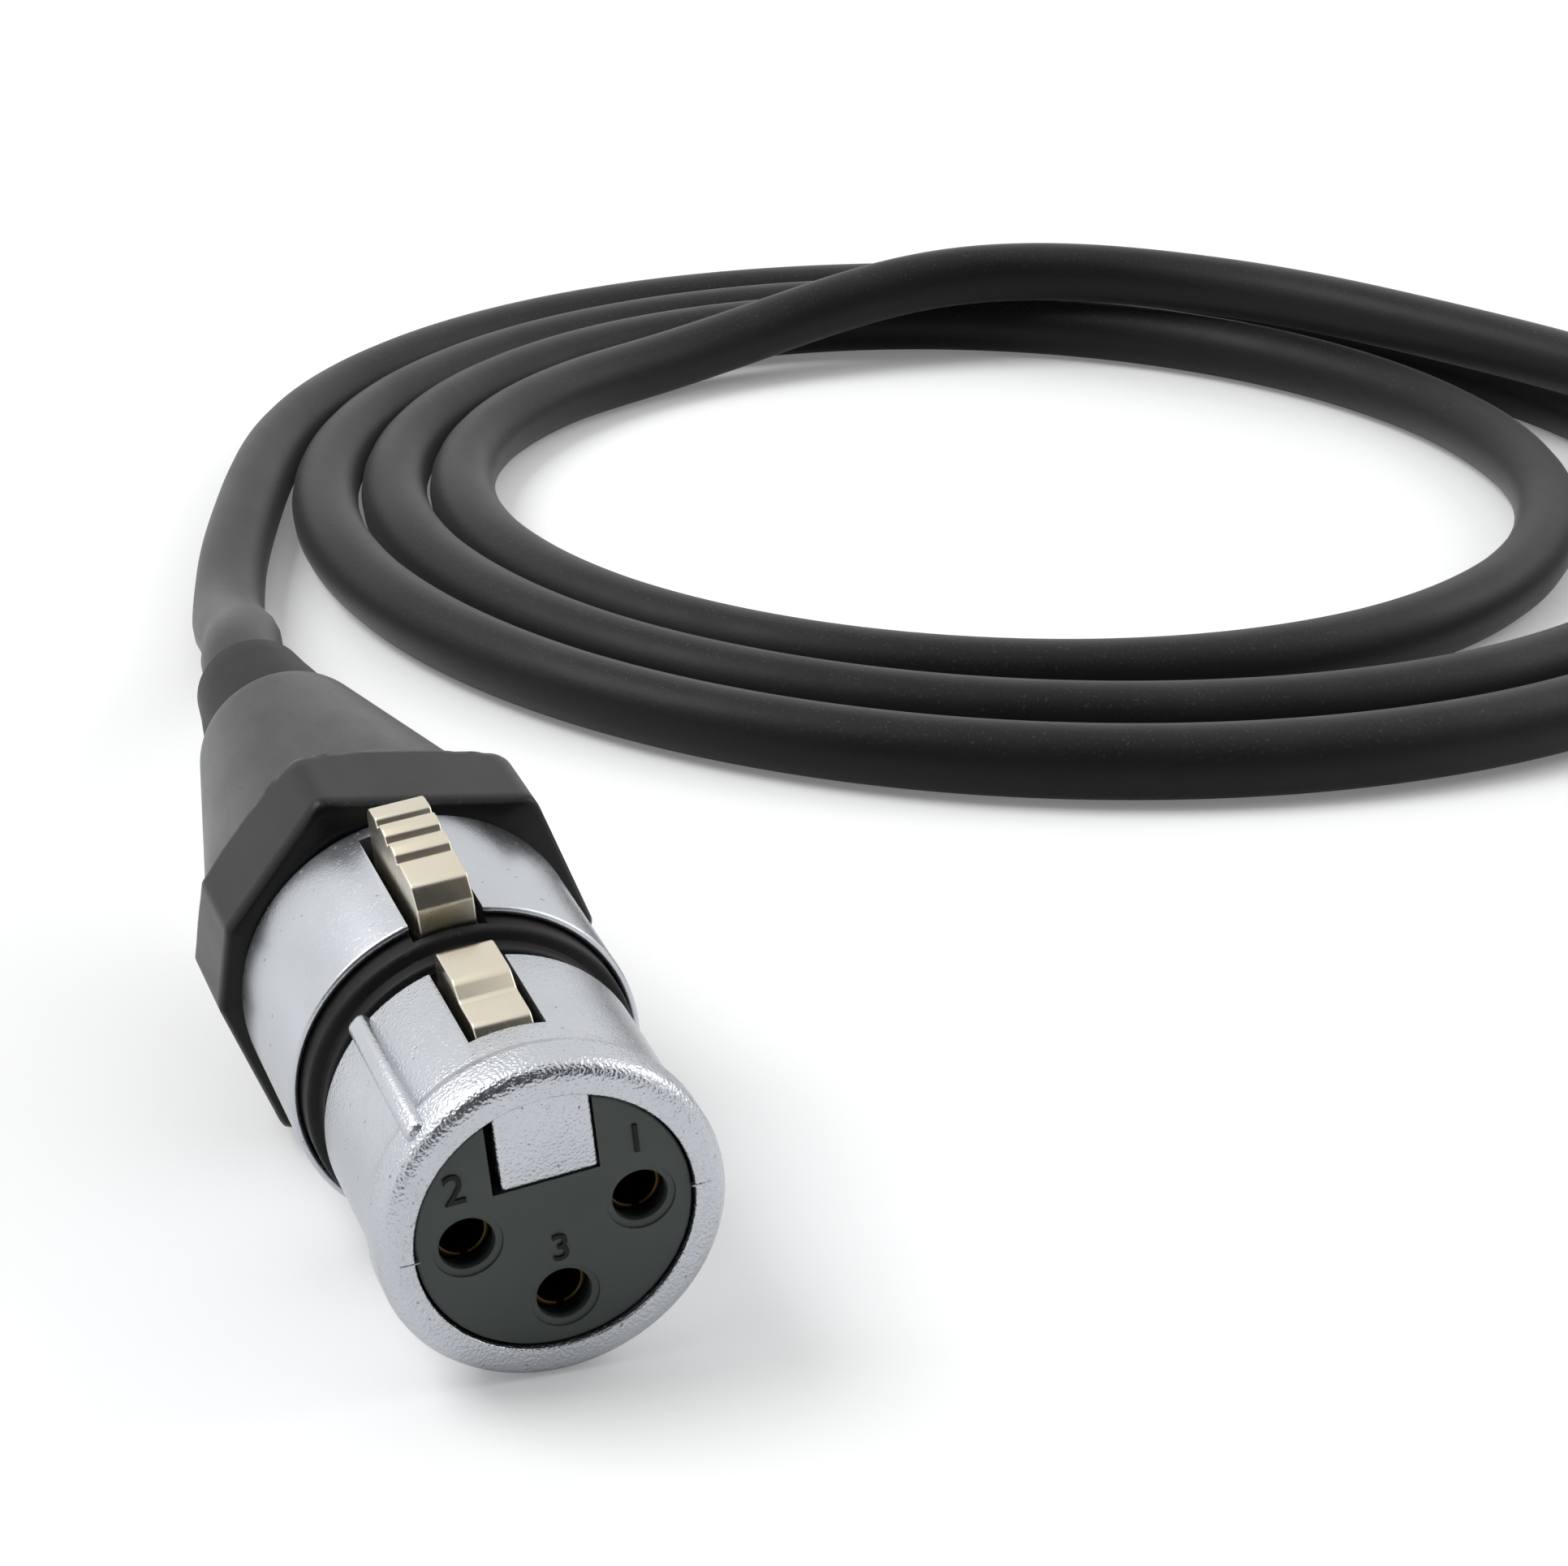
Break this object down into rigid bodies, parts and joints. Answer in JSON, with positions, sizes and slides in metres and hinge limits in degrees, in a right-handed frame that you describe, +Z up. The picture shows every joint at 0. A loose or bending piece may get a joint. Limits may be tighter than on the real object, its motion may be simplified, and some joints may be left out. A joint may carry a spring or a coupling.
{
  "type": "xlr cable coil",
  "caption": "Coiled microphone cable with a latching female connector on one end and the matching male connector on the other.",
  "frame": {"origin": "on the floor, under the middle of the female connector's box", "axes": "+Z up, +Y along the female connector from its contact face to its cable, +X to its right as seen from the contact face"},
  "size_m": [0.162, 0.1895, 0.0236],
  "materials": {
    "satin_nickel": "satin nickel on a die casting",
    "insert_plastic": "moulded, fine matt grain",
    "contact_gold": "gold plate",
    "champagne_nickel": "warm nickel, tumbled",
    "spring_steel": "bright drawn wire",
    "black_rubber": "matt",
    "black_plastic": "moulded, satin",
    "pale_plastic": "moulded",
    "cable_jacket": "matt extruded jacket",
    "bare_screen": "tinned copper strands",
    "red_wire": "extruded insulation",
    "white_wire": "extruded insulation"
  },
  "bodies": {
    "cable_set": {"socket_shell": "satin_nickel", "socket_insert": "insert_plastic", "socket_contact_1": "contact_gold", "socket_contact_2": "contact_gold", "socket_contact_3": "contact_gold", "latch_pin": "spring_steel", "latch_spring": "spring_steel", "socket_seal_ring": "black_rubber", "socket_chuck": "pale_plastic", "socket_boot": "black_plastic", "socket_boot_gland": "black_rubber", "socket_cable_end": "cable_jacket", "socket_wire_1": "bare_screen", "socket_wire_2": "red_wire", "socket_wire_3": "white_wire", "cable_lead": "cable_jacket", "cable_coil": "cable_jacket", "cable_tail": "cable_jacket", "plug_shell": "satin_nickel", "plug_insert": "insert_plastic", "plug_pin_1": "contact_gold", "plug_pin_2": "contact_gold", "plug_pin_3": "contact_gold", "plug_chuck": "pale_plastic", "plug_boot": "black_plastic", "plug_boot_gland": "black_rubber", "plug_cable_end": "cable_jacket", "plug_wire_1": "bare_screen", "plug_wire_2": "red_wire", "plug_wire_3": "white_wire"},
    "latch": {"latch_lever": "champagne_nickel"}
  },
  "joints": [
    {"name": "latch_press", "type": "hinge", "parent": "cable_set", "child": "latch", "pos_m": [-0.00077, -0.02715, 0.01532], "axis": [-0.9904, 0.0083, -0.1379], "range_deg": [0, 6.5], "stiffness_Nm_per_rad": 0.1, "springref_deg": -8.59, "deforming": ["latch_spring"]}
  ]
}
